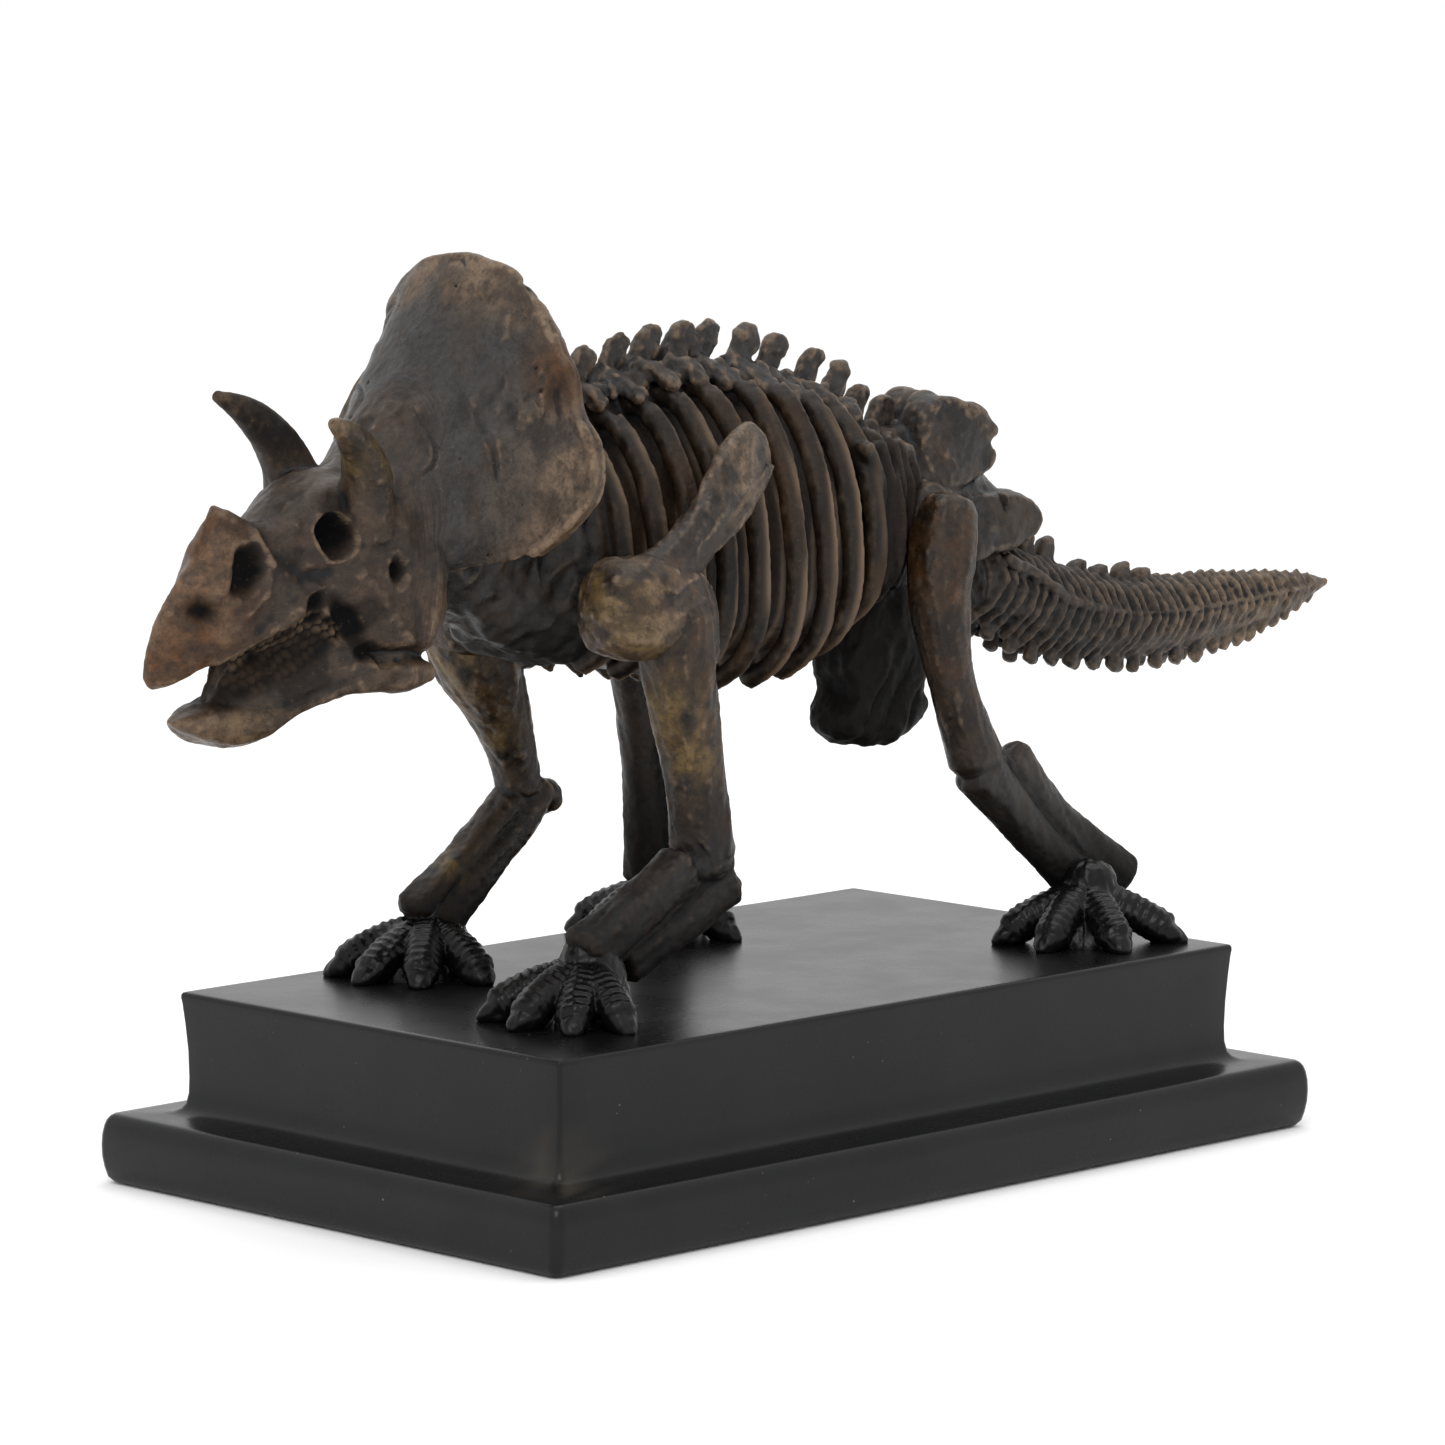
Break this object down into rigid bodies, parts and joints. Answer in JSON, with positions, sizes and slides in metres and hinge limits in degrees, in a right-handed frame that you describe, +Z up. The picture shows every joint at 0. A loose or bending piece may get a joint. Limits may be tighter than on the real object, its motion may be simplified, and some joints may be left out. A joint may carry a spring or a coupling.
{
  "type": "triceratops skeleton statue",
  "caption": "Cast-resin desk statue of a standing horned, frilled dinosaur skeleton, painted dark bronze-brown, on a black stepped plinth with coved sides.",
  "frame": {"origin": "centre of the base's flat underside", "axes": "+Z up; -X towards the animal's head along the base's length; -Y towards the animal's left side"},
  "size_m": [0.3861, 0.1488, 0.2081],
  "materials": {
    "plinth_black": "satin charcoal-black paint on cast resin",
    "bone_brown": "cast resin, dark brown wash with tan and ochre dry-brushed ridges",
    "bone_black": "cast resin, near-black satin wash with faint brown ridges"
  },
  "bodies": {
    "root": {"base": "plinth_black", "skull": "bone_brown", "frill": "bone_brown", "brow_horn_left": "bone_brown", "brow_horn_right": "bone_brown", "lower_jaw": "bone_brown", "neck": "bone_black", "spine": "bone_black", "rib_cage_left": "bone_brown", "rib_cage_right": "bone_brown", "scapula_left": "bone_brown", "scapula_right": "bone_brown", "humerus_left": "bone_brown", "humerus_right": "bone_brown", "forearm_left": "bone_brown", "forearm_right": "bone_brown", "forefoot_left": "bone_black", "forefoot_right": "bone_black", "pelvis": "bone_black", "femur_left": "bone_brown", "femur_right": "bone_brown", "shin_left": "bone_black", "shin_right": "bone_black", "hind_foot_left": "bone_black", "hind_foot_right": "bone_black", "tail_base": "bone_black", "tail_middle": "bone_black", "tail_tip": "bone_brown"}
  },
  "joints": []
}
